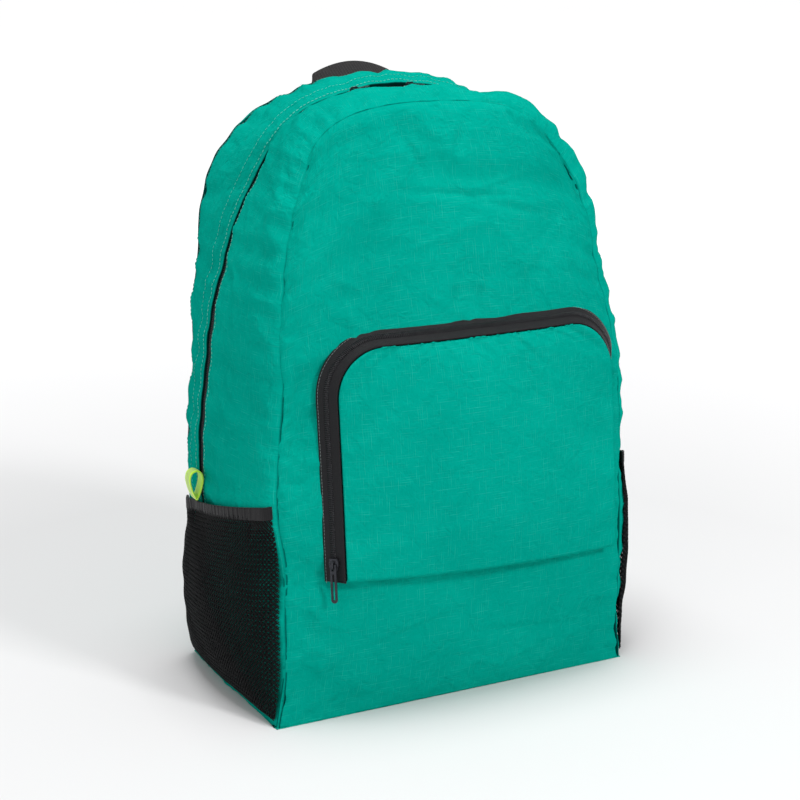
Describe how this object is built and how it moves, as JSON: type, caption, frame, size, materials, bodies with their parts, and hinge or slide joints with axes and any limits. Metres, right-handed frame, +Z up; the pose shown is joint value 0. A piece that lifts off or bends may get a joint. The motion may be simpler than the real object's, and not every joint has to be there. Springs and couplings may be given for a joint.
{
  "type": "packable backpack",
  "caption": "Light packable daypack in teal ripstop cloth, standing lightly filled: clamshell main zip, zipped front pocket, mesh side pockets, haul loop and shoulder straps.",
  "frame": {"origin": "middle of the base, on the ground", "axes": "+Z up, -Y towards the bag's front, +Y towards the wearer's back"},
  "size_m": [0.332, 0.2044, 0.4419],
  "materials": {
    "ripstop_cloth": "thin coated ripstop nylon with a soft sheen",
    "mesh_net": "open knitted stretch net, matte",
    "black_webbing": "woven nylon tape and webbing, satin",
    "zip_coil": "nylon coil, satin",
    "zip_metal": "dark coated zinc, satin",
    "buckle_plastic": "moulded acetal, fine matte",
    "bright_tape": "folded tape, bright inside, grey reflective outside"
  },
  "bodies": {
    "bag": {"side_front": "ripstop_cloth", "side_rear": "ripstop_cloth", "front_panel": "ripstop_cloth", "back_panel": "ripstop_cloth", "base_panel": "ripstop_cloth", "main_zip_tape_front": "black_webbing", "main_zip_tape_rear": "black_webbing", "main_zip_coil_left": "zip_coil", "main_zip_coil_right": "zip_coil", "main_left_slider": "zip_metal", "main_right_slider": "zip_metal", "pocket_zip_tape": "black_webbing", "pocket_zip_coil": "zip_coil", "pocket_slider": "zip_metal", "pocket_panel": "ripstop_cloth", "mesh_pocket_left": "mesh_net", "mesh_hem_left": "black_webbing", "mesh_pocket_right": "mesh_net", "mesh_hem_right": "black_webbing", "loop_tab": "bright_tape", "haul_loop": "black_webbing", "shoulder_strap_left": "ripstop_cloth", "strap_buckle_left": "buckle_plastic", "strap_webbing_left": "black_webbing", "shoulder_strap_right": "ripstop_cloth", "strap_buckle_right": "buckle_plastic", "strap_webbing_right": "black_webbing"},
    "main_left_pull_body": {"main_left_pull": "zip_metal"},
    "main_right_pull_body": {"main_right_pull": "zip_metal"},
    "pocket_pull_body": {"pocket_pull": "zip_metal"}
  },
  "joints": [
    {"name": "main_left_pull_hinge", "type": "hinge", "parent": "bag", "child": "main_left_pull_body", "pos_m": [-0.03123, 0.01964, 0.42752], "axis": [0, -1, 0], "range_deg": [0, 150]},
    {"name": "main_right_pull_hinge", "type": "hinge", "parent": "bag", "child": "main_right_pull_body", "pos_m": [0.01311, 0.0194, 0.42903], "axis": [0, -1, 0], "range_deg": [0, 150]},
    {"name": "pocket_pull_hinge", "type": "hinge", "parent": "bag", "child": "pocket_pull_body", "pos_m": [-0.10129, -0.08633, 0.11624], "axis": [-0.7082, 0.7033, -0.0618], "range_deg": [0, 150]}
  ]
}
